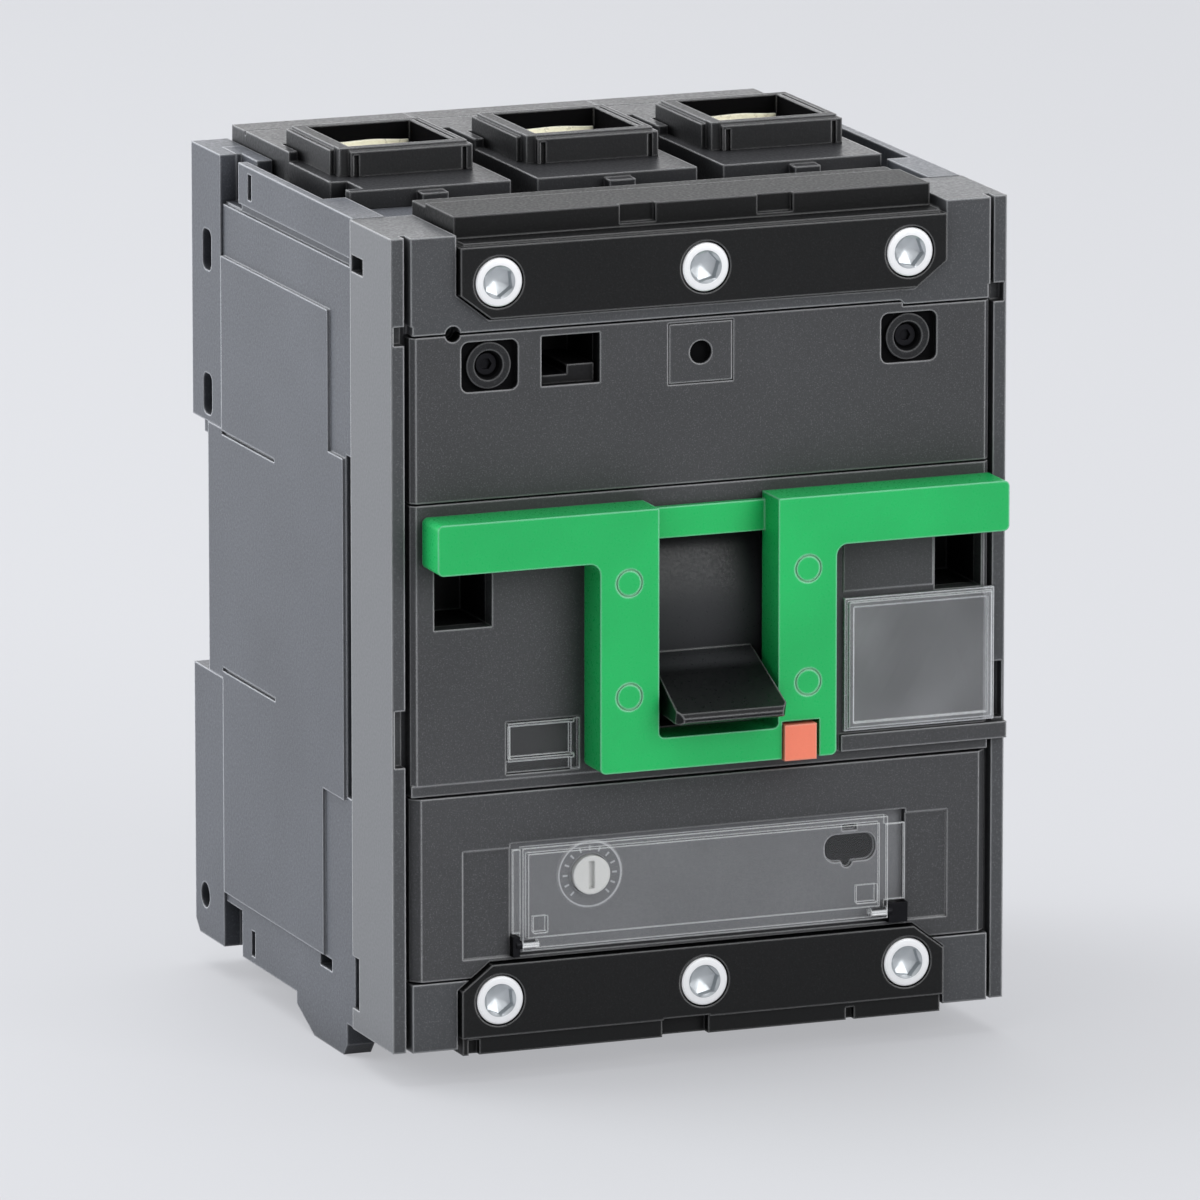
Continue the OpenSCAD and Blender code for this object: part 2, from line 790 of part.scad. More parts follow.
module arm_outline(inset) {
    inner = opening_w / 2;
    outer = legs_w / 2;
    round_r = 1.6;
    difference() {
        union() {
            round_rect([arm_left + inset, arm_top - arm_h + inset],
                       [arm_right - inset, arm_top - inset], 0.8);
            round_rect([-outer + inset, leg_bottom + inset], [outer - inset, arm_top - inset], 0.8);
            for (s = [-1, 1]) translate([s * (outer - inset), arm_top - arm_h + inset])
                translate([s > 0 ? 0 : -round_r, -round_r]) square([round_r, round_r + cut]);
        }
        for (s = [-1, 1]) translate([s * (outer - inset + round_r), arm_top - arm_h + inset - round_r])
            circle(round_r);
        translate([-inner - inset, opening_bottom - inset])
            round_rect([0, 0], [opening_w + 2 * inset, arm_top - opening_bottom + 10], 0.8);
    }
}

module button_notch(play) {
    side = button_w / 2 + 0.15 + play;
    translate([button_x - side, button_z - 10]) square([2 * side + 0.5, 10 + button_h / 2 + 0.4 + play]);
}

module mark_rings() {
    for (x = [-13.1, 13.1], z = [8, -7.8]) difference() {
        rod_y(x, z, 1.95, front - frame_proud + 0.25, front - frame_proud - cut);
        rod_y(x, z, 1.7, front - frame_proud + cut, front - frame_proud - 2 * cut);
    }
}

module handle_frame() {
    shell = 1.5;
    color([0.13, 0.66, 0.33]) union() {
        difference() {
            plate_xz(cover_front, front - frame_proud) difference() {
                arm_outline(0);
                button_notch(0);
            }
            plate_xz(cover_front + cut, front - frame_proud + shell) difference() {
                arm_outline(shell);
                button_notch(shell);
            }
            mark_rings();
        }
        box([-opening_w / 2 - shell, front - 1.6, 12.7], [opening_w / 2 + shell, cover_front, 17]);
        box([-opening_w / 2 - shell, front - frame_proud + 0.4, arm_top - 0.9],
            [-opening_w / 2, cover_front, arm_top - 0.3]);
    }
}

// Toggle

module toggle_pose() {
    translate([0, pivot_y, 0]) rotate([rest_tilt, 0, 0]) children();
}

module sector(r, half_angle) {
    reach = r * 2;
    polygon([
        [0, 0], [-reach * cos(half_angle), reach * sin(half_angle)], [-reach, reach],
        [-reach, -reach], [-reach * cos(half_angle), -reach * sin(half_angle)]
    ]);
}

module blade_profile() {
    root = 3.3;
    tip = 0.8;
    polygon([
        [-shutter_r + 1, root + 0.2], [-shutter_r - 1.2, root], [-tip_r + 0.5, tip], [-tip_r, tip - 0.5],
        [-tip_r, -tip + 0.5], [-tip_r + 0.5, -tip], [-shutter_r - 1.2, -root], [-shutter_r + 1, -root - 0.2]
    ]);
}

module blade_plan() {
    root = 7.6;
    tip = tip_w / 2;
    polygon([
        [-root, -shutter_r + 1], [root, -shutter_r + 1], [tip, -tip_r + 1.2], [tip - 0.8, -tip_r],
        [-tip + 0.8, -tip_r], [-tip, -tip_r + 1.2]
    ]);
}

module toggle() {
    web = 1.6;
    web_x = 6.2;
    color([0.1, 0.1, 0.11]) toggle_pose() difference() {
        union() {
            plate_yz(-shutter_w / 2, shutter_w / 2) intersection() {
                difference() {
                    circle(shutter_r, $fn = 96);
                    circle(shutter_r - shutter_t, $fn = 96);
                }
                sector(shutter_r, shutter_half_angle);
            }
            intersection() {
                plate_yz(-10, 10) blade_profile();
                translate([0, 0, -6]) linear_extrude(12) blade_plan();
            }
            for (x = [-web_x - web, web_x]) {
                plate_yz(x, x + web) intersection() {
                    circle(shutter_r - 0.5);
                    polygon([[3, 3.5], [3, -3.5], [-shutter_r, -9], [-shutter_r, 9]]);
                }
                rod_x(0, 0, 4.2, x, x + web);
            }
        }
        rod_x(0, 0, pivot_pin_r + run_gap, -12, 12);
        rod_x(spring_pin_y, 0, spring_pin_r + run_gap, -12, 12);
    }
}

module handle_yoke() {
    yoke_t = 1;
    yoke_x = 8.2;
    color([0.62, 0.63, 0.65]) toggle_pose() union() {
        rod_x(0, 0, pivot_pin_r, -11, 11);
        for (x = [-yoke_x - yoke_t, yoke_x]) plate_yz(x, x + yoke_t) union() {
            circle(4);
            polygon([[0, 3.6], [0, -3.6], [-23, -2.2], [-23, 2.2]]);
        }
        rod_x(spring_pin_y, 0, spring_pin_r, -yoke_x - 0.2, yoke_x + 0.2);
    }
}

// Close wound springs beside each other, as a row of turns that touch
module main_springs() {
    coil_r = 1.5;
    color([0.7, 0.71, 0.73]) toggle_pose() for (x = [-3.4, 3.4]) union() {
        for (i = [0:spring_turns - 1]) translate([x, spring_rear - i * spring_step, 0]) rotate([90, 0, 0])
            rotate_extrude() translate([coil_r, 0]) circle(spring_wire_r, $fn = 24);
    }
}

module mechanism_frame() {
    plate_t = 0.9;
    plate_x = 10.2;
    color([0.66, 0.67, 0.68]) union() {
        both_sides() difference() {
            plate_yz(plate_x, plate_x + plate_t) polygon([
                [-41, -13], [-41, 16], [-58, 16], [-63, 8], [-63, -8], [-58, -15.5], [-46, -15.5]
            ]);
            rod_x(pivot_y, 0, pivot_pin_r + run_gap, plate_x - cut, plate_x + plate_t + cut);
            rod_x(-44, 11, 1.5, plate_x - cut, plate_x + plate_t + cut);
        }
        box([-plate_x - 0.1, -58, 15], [plate_x + 0.1, -57, 16]);
    }
}

module cradle() {
    color([0.58, 0.58, 0.6]) union() {
        rod_x(-44, 11, 1.5, -11, 11);
        for (x = [-9.4, 8.4]) plate_yz(x, x + 1) polygon([
            [-41.5, 9], [-41.5, 13.4], [-47, 13.4], [-49.5, 11], [-46, 8.6]
        ]);
    }
}

// Contacts

module contact_pose() {
    translate([0, -shaft_y, shaft_z]) rotate([contact_swing, 0, 0]) children();
}

arm_w = 6;
arm_t = 4;
arm_tail = 9;

module contact_shaft() {
    length = chamber_w / 2 + pole_pitch;
    color([0.36, 0.2, 0.12]) contact_pose() difference() {
        union() {
            rod_x(0, 0, shaft_r, -length, length);
            rod_x(0, 0, shaft_r - 2, -length - 3, length + 3);
        }
        each_pole() box([-arm_w / 2, -arm_t / 2, -shaft_r - cut], [arm_w / 2, arm_t / 2, shaft_r + cut]);
    }
}

module contact_arms() {
    tip_t = 1.2;
    color([0.75, 0.45, 0.28]) contact_pose() each_pole() union() {
        plate_yz(-arm_w / 2, arm_w / 2) polygon([
            [-arm_t / 2, -arm_tail], [arm_t / 2, -arm_tail], [arm_t / 2, arm_l], [-arm_t / 2 + 1.4, arm_l],
            [-arm_t / 2, arm_l - 3]
        ]);
        rod_y(0, arm_l - 3, 2.4, arm_t / 2 + tip_t, arm_t / 2 - cut);
    }
}

module line_bar() {
    tip_t = shaft_y - arm_t / 2 - 1.2 - bar_seat_y - bar_t - 0.1;
    color([0.75, 0.45, 0.28]) union() {
        box([-conductor_w / 2, -bar_seat_y - bar_t, 17], [conductor_w / 2, -bar_seat_y, lug_high - 3]);
        rod_y(0, shaft_z + arm_l - 3, 2.6, -bar_seat_y - bar_t + cut, -bar_seat_y - bar_t - tip_t);
    }
}

module load_bar() {
    color([0.75, 0.45, 0.28]) union() {
        box([-conductor_w / 2, -bar_seat_y - bar_t, -lug_high + 3], [conductor_w / 2, -bar_seat_y, -19]);
        box([-conductor_w / 2, -bar_seat_y - 8, -22], [conductor_w / 2, -bar_seat_y - bar_t + cut, -20.4]);
    }
}

module lug() {
    hx = lug_w / 2;
    color([0.8, 0.68, 0.42]) difference() {
        plate_lug(hx);
        box([-hx + lug_wall, lug_front + lug_wall, lug_low - cut],
            [hx - lug_wall, -bar_seat_y, lug_high + cut]);
    }
}

module plate_lug(hx) {
    translate([0, 0, lug_low]) linear_extrude(lug_high - lug_low)
        round_rect([-hx, lug_front], [hx, lug_rear], 1.4);
}

module lug_at(k) {
    difference() {
        translate([k * pole_pitch, 0, 0]) lug();
        rod_y(k * screw_pitch, screw_z, screw_r + screw_play, lug_front + lug_wall + cut, lug_front - cut);
    }
}

// Cable entry frame: a stepped rim with notched corners round the cable opening
module entry_frame() {
    w = entry_w / 2;
    y0 = entry_front;
    y1 = entry_front + entry_d;
    notch_x = 2.1;
    notch_y = 2.6;
    color([0.24, 0.25, 0.27]) difference() {
        union() {
            box([-w, y0, deck_top], [w, y1, entry_top - 0.5]);
            box([-w + 0.6, y0 + 0.6, deck_top], [w - 0.6, y1 - 0.6, entry_top]);
        }
        box([-cable_w / 2, cable_front, deck_top - cut], [cable_w / 2, cable_rear, entry_top + cut]);
        box([-w - cut, y0 - cut, deck_top - cut], [-w + notch_x, y0 + 0.7, entry_top + cut]);
        box([-w - cut, y0 - cut, deck_top - cut], [-w + 0.7, y0 + notch_y, entry_top + cut]);
        box([-w + notch_x + 0.5, y0 - cut, deck_top - cut], [-w + notch_x + 1.2, y0 + 0.6, entry_top - 1]);
        box([w - 1.5, y0 - cut, deck_top - cut], [w - 0.9, y0 + 0.6, entry_top - 0.8]);
        box([w - 1.9, y0 + 2.4, entry_top - 0.6], [w - 1.4, y1 - 2, entry_top + cut]);
    }
}

module arc_chute() {
    side_x = chamber_w / 2 - 1.3;
    color([0.55, 0.56, 0.58]) union() {
        for (i = [0:6]) plate_xz(-31.5 - i * 3, -32.6 - i * 3) difference() {
            translate([-side_x - 0.3, 24.5]) square([2 * side_x + 0.6, 14.5]);
            polygon([[-4, 24], [4, 24], [0, 31]]);
        }
        for (x = [-side_x - 1, side_x]) box([x, -52, 24.5], [x + 1, -30.6, 39]);
    }
}

// Trip parts

module trip_bar() {
    color([0.75, 0.72, 0.6]) union() {
        rod_x(trip_y, trip_z, trip_r, -trip_half, trip_half);
        box([button_x - 0.3, stem_rear + paddle_gap, trip_z], [button_x + 2.5, trip_y + 0.6, button_z + 0.4]);
        each_pole() box([-2, trip_y - 0.8, trip_z], [2, trip_y + 0.8, trip_z + 7]);
    }
}

module bimetals() {
    color([0.7, 0.6, 0.4]) each_pole() box([-3, -50.6, -chamber_h / 2], [3, -49.6, -21]);
}

module magnet_yokes() {
    color([0.5, 0.51, 0.53]) each_pole() difference() {
        box([-8.5, -44, -38], [8.5, -bar_seat_y - bar_t - 0.3, -27]);
        box([-6.5, -45, -39], [6.5, -bar_seat_y - bar_t - 2.3, -26]);
    }
}

module trip_button() {
    x = button_x;
    z = button_z;
    color([0.98, 0.45, 0.36]) union() {
        box([x - button_w / 2, button_front, z - button_h / 2],
            [x + button_w / 2, seat - 0.4, z + button_h / 2]);
        box([x - 0.3, seat - cut, z - 1], [x + 1.2, stem_rear, z + 0.6]);
    }
}

// Clear pieces

module label_plate() {
    x1 = post_in - 0.2;
    color([0.75, 0.77, 0.8, 0.4]) difference() {
        union() {
            box([label_x0, front - 1.3, label_z0], [x1, cover_front, label_z1]);
            box([label_x0 + 0.5, front - 1.8, label_z0 + 0.5], [x1 - 0.5, front - 1, label_z1 - 0.5]);
        }
        box([label_x0 + 1.2, front - 2 - cut, label_z0 + 1.2], [x1 - 1.2, front - 1.5, label_z1 - 1.2]);
    }
}

tag_x0 = -28.7;
tag_x1 = -18;
tag_z0 = -18.6;
tag_z1 = -11.3;

// The holder has a thin back, a clear pocket with two rails and a column on the right
module tag_holder() {
    back = cover_front + 0.8;
    rail_z = -16.3;
    rib = 0.5;
    color([0.75, 0.77, 0.8, 0.4]) union() {
        box([tag_x0 + 0.1, back - 0.4, tag_z0 + 0.1], [tag_x1 - 0.1, back, tag_z1 - 0.1]);
        box([tag_x0 + 0.1, front - 1.2, tag_z1 - 0.1 - rib], [tag_x1 - 1, back - 0.3, tag_z1 - 0.1]);
        box([tag_x0 + 0.1, front - 1.2, rail_z - rib], [tag_x1 - 1, back - 0.3, rail_z]);
        box([tag_x0 + 0.1, front - 0.9, rail_z - rib], [tag_x0 + 0.5, back - 0.3, tag_z1 - 0.1]);
        box([tag_x1 - 1.4, front - 0.9, tag_z0 + 0.1], [tag_x1 - 0.1, back - 0.3, tag_z1 - 0.1]);
    }
}

module settings_flap() {
    rim = 1;
    ear_rear = flap_front + flap_t;
    ear_low = flap_axis_z + 1.5;
    color([0.75, 0.77, 0.8, 0.4]) difference() {
        union() {
            difference() {
                box([flap_x0, flap_front, flap_z0], [flap_x1, ear_rear, flap_z1]);
                box([flap_x0 + rim, flap_front + 0.5, flap_z0 + rim + 0.6],
                    [flap_x1 - rim, ear_rear + cut, flap_z1 - rim]);
            }
            box([panel_x0 + 0.2, ear_rear - 0.5, ear_low], [flap_x0 + 0.5, ear_rear, flap_z1 - 0.3]);
            box([flap_x1 - 0.5, ear_rear - 0.5, ear_low], [panel_x1 - 0.2, ear_rear, flap_z1 - 1.3]);
            box([flap_x0 + 1.8, flap_front + 0.3, ear_low], [flap_x0 + 3.8, ear_rear, ear_low + 2.3]);
            box([flap_x1 - 4.4, flap_front + 0.3, ear_low], [flap_x1 - 1.4, ear_rear, ear_low + 2.5]);
        }
        for (s = [-1, 1]) {
            x = s < 0 ? flap_x0 : flap_x1;
            rod_x(flap_axis_y, flap_axis_z, flap_pin_r + run_gap, x - 2.4, x + 2.4);
        }
    }
}

// The flap's hinge blocks, black, with the pins that it turns on
module flap_pins() {
    z0 = panel_z0;
    z1 = flap_axis_z + 1.2;
    color([0.1, 0.1, 0.11]) {
        box([panel_x0, flap_front + 0.3, z0], [flap_x0 - flap_gap, seat - panel_t, z1]);
        rod_x(flap_axis_y, flap_axis_z, flap_pin_r, flap_x0 - 0.8, flap_x0 + 2);
        box([flap_x1 + flap_gap, flap_front + 0.3, z0], [panel_x1, seat - panel_t, z1]);
        rod_x(flap_axis_y, flap_axis_z, flap_pin_r, flap_x1 - 2, flap_x1 + 0.8);
    }
}

module settings_panel() {
    ahead = seat - panel_t;
    color([0.22, 0.23, 0.25]) difference() {
        union() {
            box([panel_x0, ahead, panel_z0], [panel_x1, seat, panel_z1]);
            rod_y(dial_x, dial_z, 4.7, seat, ahead - 0.15);
        }
        rod_y(dial_x, dial_z, 2.8, ahead + 0.4, ahead - cut);
        rod_y(dial_x, dial_z, dial_shaft_r + run_gap, seat + cut, ahead - cut);
        plate_xz(ahead + 0.7, ahead - cut) {
            round_rect([18.7, -35.4], [26.3, -31.5], 1.7);
            translate([22, -35.4]) circle(0.8);
            translate([21.3, -31]) square([2.2, 0.9]);
        }
    }
}

module adjust_dial() {
    head_front = seat - panel_t - 0.9;
    color([0.92, 0.92, 0.9]) difference() {
        union() {
            rod_y(dial_x, dial_z, 2.7, seat - panel_t + 0.3, head_front);
            rod_y(dial_x, dial_z, dial_shaft_r, joint_y - 2, seat - panel_t);
        }
        box([dial_x - 0.4, head_front - cut, dial_z - 1.9], [dial_x + 0.4, head_front + 0.7, dial_z + 1.9]);
    }
}

// Rail latch: slides down to free the rail
module rail_latch() {
    color([0.12, 0.12, 0.13]) union() {
        box([-10, -3, -38], [10, -1.7, -flange_low - 0.4]);
        box([-8, -3, -38], [8, -0.4, -flange_low + lip_h - 0.1]);
        box([-8, -rail_depth + 1.4, -flange_low], [8, -1, -flange_low + lip_h - 0.1]);
    }
}

rear_case();
upper_rail_plate();
lower_rail_plate();
line_deck();
load_deck();
accessory_sockets();
front_case();
upper_cover();
test_cap();
window_block();
centre_cover();
lower_cover();
upper_terminal_cover();
lower_terminal_cover();
upper_terminal_screws();
lower_terminal_screws();
cover_screws();
handle_frame();
toggle();
trip_button();
label_plate();
tag_holder();
settings_flap();
flap_pins();
settings_panel();
adjust_dial();
for (k = [-1:1]) {
    translate([k * pole_pitch, 0, 0]) entry_frame();
    translate([k * pole_pitch, 0, 0]) mirror([0, 0, 1]) entry_frame();
    lug_at(k);
    mirror([0, 0, 1]) lug_at(k);
    translate([k * pole_pitch, 0, 0]) line_bar();
    translate([k * pole_pitch, 0, 0]) load_bar();
    translate([k * pole_pitch, 0, 0]) arc_chute();
}
contact_shaft();
contact_arms();
mechanism_frame();
handle_yoke();
cradle();
main_springs();
trip_bar();
bimetals();
magnet_yokes();
rail_latch();
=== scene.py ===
import json
import math
import bmesh
import bpy
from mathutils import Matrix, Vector

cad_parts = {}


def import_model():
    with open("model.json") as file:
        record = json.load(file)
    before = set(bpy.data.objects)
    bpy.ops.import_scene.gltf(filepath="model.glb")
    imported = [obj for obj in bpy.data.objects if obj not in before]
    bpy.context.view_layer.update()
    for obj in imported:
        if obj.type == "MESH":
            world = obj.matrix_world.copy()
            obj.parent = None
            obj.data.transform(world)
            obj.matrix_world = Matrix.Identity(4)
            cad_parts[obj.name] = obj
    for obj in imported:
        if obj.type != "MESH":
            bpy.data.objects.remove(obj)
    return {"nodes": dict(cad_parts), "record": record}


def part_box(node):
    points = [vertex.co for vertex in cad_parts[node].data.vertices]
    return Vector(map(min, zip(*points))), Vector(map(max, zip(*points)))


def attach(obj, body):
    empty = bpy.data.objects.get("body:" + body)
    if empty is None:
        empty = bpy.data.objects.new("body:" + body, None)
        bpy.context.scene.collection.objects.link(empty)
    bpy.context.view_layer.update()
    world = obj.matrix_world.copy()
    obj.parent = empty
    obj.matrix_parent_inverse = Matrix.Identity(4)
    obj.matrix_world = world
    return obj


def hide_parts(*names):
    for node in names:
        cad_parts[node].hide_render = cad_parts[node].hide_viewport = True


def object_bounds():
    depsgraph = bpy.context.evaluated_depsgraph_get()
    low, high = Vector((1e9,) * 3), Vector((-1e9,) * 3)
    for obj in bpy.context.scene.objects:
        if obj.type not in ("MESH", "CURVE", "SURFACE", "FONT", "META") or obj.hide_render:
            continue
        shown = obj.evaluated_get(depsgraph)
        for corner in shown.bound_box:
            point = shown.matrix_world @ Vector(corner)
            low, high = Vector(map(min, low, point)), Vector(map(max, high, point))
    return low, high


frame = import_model()
cad_box = [list(v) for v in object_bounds()]
nodes = frame["nodes"]
MM = 0.001
SCREW_PITCH = 30 * MM
ENTRY_WALL = 1.78 * MM
SIDES = 96


# Materials

class Tree:
    """A node tree with short calls for its nodes and links."""

    def __init__(self, name):
        self.mat = bpy.data.materials.new(name)
        self.mat.use_nodes = True
        self.nt = self.mat.node_tree
        self.nt.nodes.clear()
        self.out = self.add("ShaderNodeOutputMaterial")
        self.bsdf = self.add("ShaderNodeBsdfPrincipled")
        self.link(self.bsdf.outputs["BSDF"], self.out.inputs["Surface"])
        self.quiet = None

    def add(self, kind, **values):
        n = self.nt.nodes.new(kind)
        for k, v in values.items():
            setattr(n, k, v)
        return n

    def link(self, a, b):
        self.nt.links.new(a, b)

    def put(self, socket, value):
        self.bsdf.inputs[socket].default_value = value

    def coords(self, scale=(1, 1, 1), place=(0, 0, 0)):
        c = self.add("ShaderNodeTexCoord")
        m = self.add("ShaderNodeMapping")
        m.inputs["Scale"].default_value = scale
        m.inputs["Location"].default_value = place
        self.link(c.outputs["Object"], m.inputs["Vector"])
        return m.outputs["Vector"]

    def axes(self, vector):
        s = self.add("ShaderNodeSeparateXYZ")
        self.link(vector, s.inputs[0])
        return s.outputs

    def noise(self, vector, scale, detail=3.0, rough=0.55):
        n = self.add("ShaderNodeTexNoise")
        n.inputs["Scale"].default_value = scale
        n.inputs["Detail"].default_value = detail
        n.inputs["Roughness"].default_value = rough
        self.link(vector, n.inputs["Vector"])
        return n.outputs["Fac"]

    def rings(self, radius, scale):
        """Turned lines: noise that changes only with the radius."""
        n = self.add("ShaderNodeTexNoise", noise_dimensions="1D")
        n.inputs["Scale"].default_value = scale
        n.inputs["Detail"].default_value = 3
        self.link(radius, n.inputs["W"])
        return n.outputs["Fac"]

    def ramp(self, fac, stops):
        r = self.add("ShaderNodeValToRGB")
        e = r.color_ramp.elements
        while len(e) < len(stops):
            e.new(0.5)
        for k, (pos, col) in enumerate(stops):
            e[k].position = pos
            e[k].color = (*col, 1)
        self.link(fac, r.inputs["Fac"])
        return r.outputs["Color"]

    def mix(self, fac, a, b):
        m = self.add("ShaderNodeMix", data_type="RGBA")
        for socket, v in ((m.inputs[0], fac), (m.inputs[6], a), (m.inputs[7], b)):
            if isinstance(v, bpy.types.NodeSocket):
                self.link(v, socket)
            elif isinstance(v, (int, float)):
                socket.default_value = v
            else:
                socket.default_value = (*v, 1)
        return m.outputs[2]

    def math(self, op, a, b=0.0, c=0.0, clamp=False):
        """A math node on sockets or numbers."""
        m = self.add("ShaderNodeMath", operation=op, use_clamp=clamp)
        for socket, v in zip(m.inputs, (a, b, c)):
            if isinstance(v, bpy.types.NodeSocket):
                self.link(v, socket)
            else:
                socket.default_value = v
        return m.outputs[0]

    def span(self, fac, a, b, lo, hi):
        """lo at a, hi at b, straight between and level beyond."""
        m = self.add("ShaderNodeMapRange")
        for k, v in enumerate((a, b, lo, hi)):
            m.inputs[k + 1].default_value = v
        self.link(fac, m.inputs[0])
        return m.outputs[0]

    def radius(self, a, b):
        squares = self.math("MULTIPLY", a, a), self.math("MULTIPLY", b, b)
        return self.math("SQRT", self.math("ADD", *squares))

    def band(self, value, low, high, soft):
        """1 between low and high, with soft ends."""
        up = self.span(value, low - soft, low, 0, 1)
        down = self.span(value, high, high + soft, 1, 0)
        return self.math("MULTIPLY", up, down)

    def edge_mask(self, radius):
        """1 on the object's edges, 0 on its faces, and the rounded normal."""
        bevel = self.add("ShaderNodeBevel", samples=4)
        bevel.inputs["Radius"].default_value = radius
        geo = self.add("ShaderNodeNewGeometry")
        dot = self.add("ShaderNodeVectorMath", operation="DOT_PRODUCT")
        self.link(bevel.outputs["Normal"], dot.inputs[0])
        self.link(geo.outputs["True Normal"], dot.inputs[1])
        return self.span(dot.outputs["Value"], 0.998, 0.9, 0.0, 1.0), bevel.outputs["Normal"]

    def hollow(self, distance, dark):
        """Painted shade: 1 on open faces, down to dark in corners and pockets, where shade falls."""
        ao = self.add("ShaderNodeAmbientOcclusion", samples=4)
        ao.inputs["Distance"].default_value = distance
        return self.span(ao.outputs["AO"], 0.3, 0.9, dark, 1.0)

    def bump(self, height, strength, distance, normal=None):
        b = self.add("ShaderNodeBump")
        b.inputs["Strength"].default_value = strength
        b.inputs["Distance"].default_value = distance
        self.link(height, b.inputs["Height"])
        if normal is not None:
            self.link(normal, b.inputs["Normal"])
        self.link(b.outputs["Normal"], self.bsdf.inputs["Normal"])


def shade(colour, k, lift=0.0):
    return tuple(min(1, c * k + lift) for c in colour)


def plastic(name, base, rough=0.45, grain=1.0, speck=0.35, edge=0.55, spec=0.3, dark=0.3, paint=None, late=None):
    """Moulded plastic: spark eroded grain, light specks, painted highlights on the edges and painted shade in
    corners and pockets.

    paint colours it before the edges, late after them. Either can set t.quiet, where no light is reflected.
    """
    t = Tree(name)
    v = t.coords()
    broad = t.noise(v, 40, 3)
    fine = t.noise(v, 2400, 2, 0.6)
    fleck = t.noise(v, 5600, 1, 0.5)
    col = t.ramp(broad, [(0.3, shade(base, 0.9)), (0.7, shade(base, 1.1))])
    col = t.mix(t.span(fine, 0.35, 0.65, 0.0, 0.3 * min(1, grain)), col, shade(base, 0.7))
    col = t.mix(t.span(fleck, 0.58, 0.7, 0.0, speck), col, shade(base, 2.3, 0.035))
    if paint:
        col = paint(t, col)
    # Painted highlight: the edges are painted lighter, as if they caught the lamps; edge sets how much.
    mask, normal = t.edge_mask(0.4 * MM)
    col = t.mix(t.math("MULTIPLY", mask, edge), col, shade(base, 2.4, 0.5))
    if late:
        col = late(t, col)
    # Painted shade: corners, pockets and joins are painted darker, by the amount dark, where shade falls.
    col = t.mix(t.hollow(9 * MM, dark), shade(base, 0.12), col)
    t.link(col, t.bsdf.inputs["Base Color"])
    t.link(t.span(fine, 0.3, 0.7, rough - 0.08, rough + 0.1), t.bsdf.inputs["Roughness"])
    t.put("Specular IOR Level", spec)
    if t.quiet:
        t.link(t.span(t.quiet, 0, 1, spec, 0), t.bsdf.inputs["Specular IOR Level"])
    t.bump(fine, 0.35 * grain, 0.07 * MM, normal)
    return t.mat


def metal(name, base, rough=0.3, brushed=(1, 1, 1), worn=0.4, metallic=1.0):
    """Rolled or plated sheet metal with streaks and darker blots."""
    t = Tree(name)
    v = t.coords(brushed)
    streak = t.noise(v, 900, 4, 0.65)
    blot = t.noise(t.coords(), 160, 3)
    col = t.ramp(streak, [(0.25, shade(base, 0.8)), (0.75, shade(base, 1.1))])
    col = t.mix(t.span(blot, 0.5, 0.75, 0, worn), col, shade(base, 0.62))
    t.link(col, t.bsdf.inputs["Base Color"])
    t.put("Metallic", metallic)
    t.link(t.span(streak, 0.2, 0.8, rough - 0.08, rough + 0.14), t.bsdf.inputs["Roughness"])
    _, normal = t.edge_mask(0.2 * MM)
    t.bump(streak, 0.12, 0.04 * MM, normal)
    return t.mat


def turned(name, base, rough, metallic):
    """Zinc plated screw head: lines of the lathe round the axis."""
    t = Tree(name)
    v = t.coords()
    x, _, z = t.axes(v)
    lines = t.rings(t.radius(x, z), 9000)
    blot = t.noise(v, 400, 2)
    col = t.ramp(lines, [(0.3, shade(base, 0.93)), (0.7, base)])
    col = t.mix(t.span(blot, 0.55, 0.75, 0, 0.12), col, shade(base, 0.8))
    t.link(col, t.bsdf.inputs["Base Color"])
    t.put("Metallic", metallic)
    t.link(t.span(lines, 0.3, 0.7, rough - 0.07, rough + 0.08), t.bsdf.inputs["Roughness"])
    t.bump(lines, 0.1, 0.02 * MM)
    return t.mat


def clear(name, tint, rough=0.1, alpha=0.16, rim=0.55):
    """Clear plastic with moulding ripple, fine scratches and painted highlights on its edges."""
    t = Tree(name)
    ripple = t.noise(t.coords(), 120, 2)
    scratch = t.noise(t.coords((1, 1, 14)), 700, 3, 0.7)
    mask, normal = t.edge_mask(0.34 * MM)
    col = t.ramp(ripple, [(0.3, shade(tint, 0.9)), (0.7, tint)])
    # Painted highlight: the edges are painted lighter, and by rim more opaque below, as if they caught the lamps.
    col = t.mix(mask, col, shade(tint, 1.5, 0.05))
    t.link(col, t.bsdf.inputs["Base Color"])
    t.link(t.span(scratch, 0.35, 0.75, rough - 0.05, rough + 0.12), t.bsdf.inputs["Roughness"])
    body = t.span(t.noise(t.coords(), 60, 2), 0.3, 0.7, alpha * 0.8, alpha * 1.2)
    t.link(t.math("ADD", body, t.math("MULTIPLY", mask, rim), clamp=True), t.bsdf.inputs["Alpha"])
    t.put("IOR", 1.49)
    t.bump(ripple, 0.05, 0.2 * MM, normal)
    return t.mat


def dial_scale(t, col):
    """The ring and the marks round the dial, moulded in the panel."""
    low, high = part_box("adjust_dial")
    mid = (low + high) / 2
    x, y, z = t.axes(t.coords(place=(-mid.x, 0, -mid.z)))
    r = t.radius(x, z)
    ring = t.band(r, 4.45 * MM, 4.62 * MM, 0.06 * MM)
    angle = t.math("ARCTAN2", x, z)
    half_step = math.pi / 16
    beat = t.math("PINGPONG", t.math("ADD", angle, math.pi), half_step)
    tick = t.math("MULTIPLY", t.span(beat, 0.02, 0.05, 1, 0), t.band(r, 3.3 * MM, 3.95 * MM, 0.05 * MM))
    gap = t.span(t.math("ABSOLUTE", angle), 2.5, 2.55, 1, 0)
    front = t.span(y, low.y + 0.4 * MM, low.y + 1.6 * MM, 1, 0.9)
    mark = t.math("MULTIPLY", t.math("MAXIMUM", ring, t.math("MULTIPLY", tick, gap)), front)
    return t.mix(t.math("MULTIPLY", mark, 0.8), col, (0.5, 0.51, 0.53))


